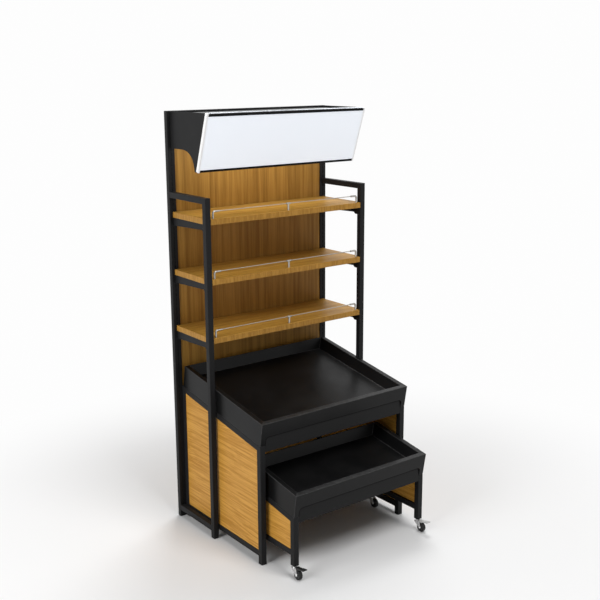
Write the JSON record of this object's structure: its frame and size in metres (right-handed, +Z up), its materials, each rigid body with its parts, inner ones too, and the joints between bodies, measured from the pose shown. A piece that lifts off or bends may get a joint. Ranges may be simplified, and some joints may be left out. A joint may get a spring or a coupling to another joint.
{
  "type": "produce display rack",
  "caption": "Produce display rack: slotted steel back frame with wooden shelves and a blank header, a table with a tilted tray and a smaller nesting table on casters.",
  "frame": {"origin": "centre of the bounding box in plan, at floor level", "axes": "+Z up, -Y towards the shopper, +X to the shopper's right"},
  "size_m": [1.018, 1.018, 2.1947],
  "materials": {
    "frame_steel": "fine matt black powder coat",
    "bracket_steel": "fine matt black powder coat",
    "tray_steel": "satin black powder coat",
    "fascia_steel": "satin black powder coat",
    "back_wood": "light oak grain, satin",
    "shelf_wood": "light oak grain with an edge band",
    "side_wood": "light oak grain, satin",
    "fence_chrome": "bright plated wire",
    "sign_white": "smooth white, blank",
    "sign_rail_black": "black anodised profile",
    "cover_grey": "plain pale grey sheet",
    "caster_zinc": "bright zinc plate",
    "wheel_rubber": "matt black tread",
    "lever_black": "moulded black",
    "lever_grey": "moulded pale grey"
  },
  "bodies": {
    "rack": {"upright_left": "frame_steel", "upright_right": "frame_steel", "side_frame_left": "frame_steel", "side_frame_right": "frame_steel", "back_crossbar_top": "frame_steel", "back_crossbar_bottom": "frame_steel", "table_side_frame_left": "frame_steel", "table_side_frame_right": "frame_steel", "table_crossbar_front": "frame_steel", "table_crossbar_rear": "frame_steel", "table_crossbar_low": "frame_steel", "shelf_bracket_left_1": "bracket_steel", "shelf_bracket_left_2": "bracket_steel", "shelf_bracket_left_3": "bracket_steel", "shelf_bracket_right_1": "bracket_steel", "shelf_bracket_right_2": "bracket_steel", "shelf_bracket_right_3": "bracket_steel", "header_bracket_left": "bracket_steel", "header_bracket_right": "bracket_steel", "upper_tray": "tray_steel", "table_fascia": "fascia_steel", "back_panel": "back_wood", "shelf_board_1": "shelf_wood", "shelf_board_2": "shelf_wood", "shelf_board_3": "shelf_wood", "table_side_panel_left": "side_wood", "table_side_panel_right": "side_wood", "shelf_fence_1": "fence_chrome", "shelf_fence_2": "fence_chrome", "shelf_fence_3": "fence_chrome", "sign_panel": "sign_white", "sign_rail_top": "sign_rail_black", "sign_rail_bottom": "sign_rail_black", "header_cover": "cover_grey"},
    "cart": {"cart_side_frame_left": "frame_steel", "cart_side_frame_right": "frame_steel", "cart_side_panel_left": "side_wood", "cart_side_panel_right": "side_wood", "cart_crossbar_front": "frame_steel", "cart_crossbar_rear": "frame_steel", "cart_fascia": "fascia_steel", "lower_tray": "tray_steel", "caster_stem_front_left": "caster_zinc", "caster_stem_front_right": "caster_zinc", "caster_stem_rear_left": "caster_zinc", "caster_stem_rear_right": "caster_zinc"},
    "swivel_front_left": {"caster_fork_front_left": "caster_zinc", "caster_axle_front_left": "caster_zinc"},
    "wheel_front_left": {"caster_wheel_front_left": "wheel_rubber"},
    "swivel_front_right": {"caster_fork_front_right": "caster_zinc", "caster_axle_front_right": "caster_zinc"},
    "wheel_front_right": {"caster_wheel_front_right": "wheel_rubber"},
    "swivel_rear_left": {"caster_fork_rear_left": "caster_zinc", "caster_axle_rear_left": "caster_zinc"},
    "wheel_rear_left": {"caster_wheel_rear_left": "wheel_rubber"},
    "swivel_rear_right": {"caster_fork_rear_right": "caster_zinc", "caster_axle_rear_right": "caster_zinc"},
    "wheel_rear_right": {"caster_wheel_rear_right": "wheel_rubber"},
    "brake_front_left": {"brake_lever_front_left": "lever_black"},
    "brake_front_right": {"brake_lever_front_right": "lever_grey"}
  },
  "joints": [
    {"name": "cart_roll", "type": "slide", "parent": "rack", "child": "cart", "axis": [0, 1, 0], "range_m": [-0.25, 0.45]},
    {"name": "swivel_front_left", "type": "hinge", "parent": "cart", "child": "swivel_front_left", "pos_m": [-0.41, -0.427, 0.055], "axis": [0, 0, 1], "continuous": true},
    {"name": "wheel_spin_front_left", "type": "hinge", "parent": "swivel_front_left", "child": "wheel_front_left", "pos_m": [-0.41, -0.4545, 0.025], "axis": [1, 0, 0], "continuous": true},
    {"name": "swivel_front_right", "type": "hinge", "parent": "cart", "child": "swivel_front_right", "pos_m": [0.41, -0.427, 0.055], "axis": [0, 0, 1], "continuous": true},
    {"name": "wheel_spin_front_right", "type": "hinge", "parent": "swivel_front_right", "child": "wheel_front_right", "pos_m": [0.41, -0.4545, 0.025], "axis": [1, 0, 0], "continuous": true},
    {"name": "swivel_rear_left", "type": "hinge", "parent": "cart", "child": "swivel_rear_left", "pos_m": [-0.41, -0.054, 0.055], "axis": [0, 0, 1], "range_deg": [-28, 205]},
    {"name": "wheel_spin_rear_left", "type": "hinge", "parent": "swivel_rear_left", "child": "wheel_rear_left", "pos_m": [-0.41, -0.0815, 0.025], "axis": [1, 0, 0], "continuous": true},
    {"name": "swivel_rear_right", "type": "hinge", "parent": "cart", "child": "swivel_rear_right", "pos_m": [0.41, -0.054, 0.055], "axis": [0, 0, 1], "range_deg": [-205, 28]},
    {"name": "wheel_spin_rear_right", "type": "hinge", "parent": "swivel_rear_right", "child": "wheel_rear_right", "pos_m": [0.41, -0.0815, 0.025], "axis": [1, 0, 0], "continuous": true},
    {"name": "brake_press_left", "type": "hinge", "parent": "swivel_front_left", "child": "brake_front_left", "pos_m": [-0.41, -0.445, 0.057], "axis": [1, 0, 0], "range_deg": [0, 12]},
    {"name": "brake_press_right", "type": "hinge", "parent": "swivel_front_right", "child": "brake_front_right", "pos_m": [0.41, -0.445, 0.057], "axis": [1, 0, 0], "range_deg": [0, 12]}
  ]
}
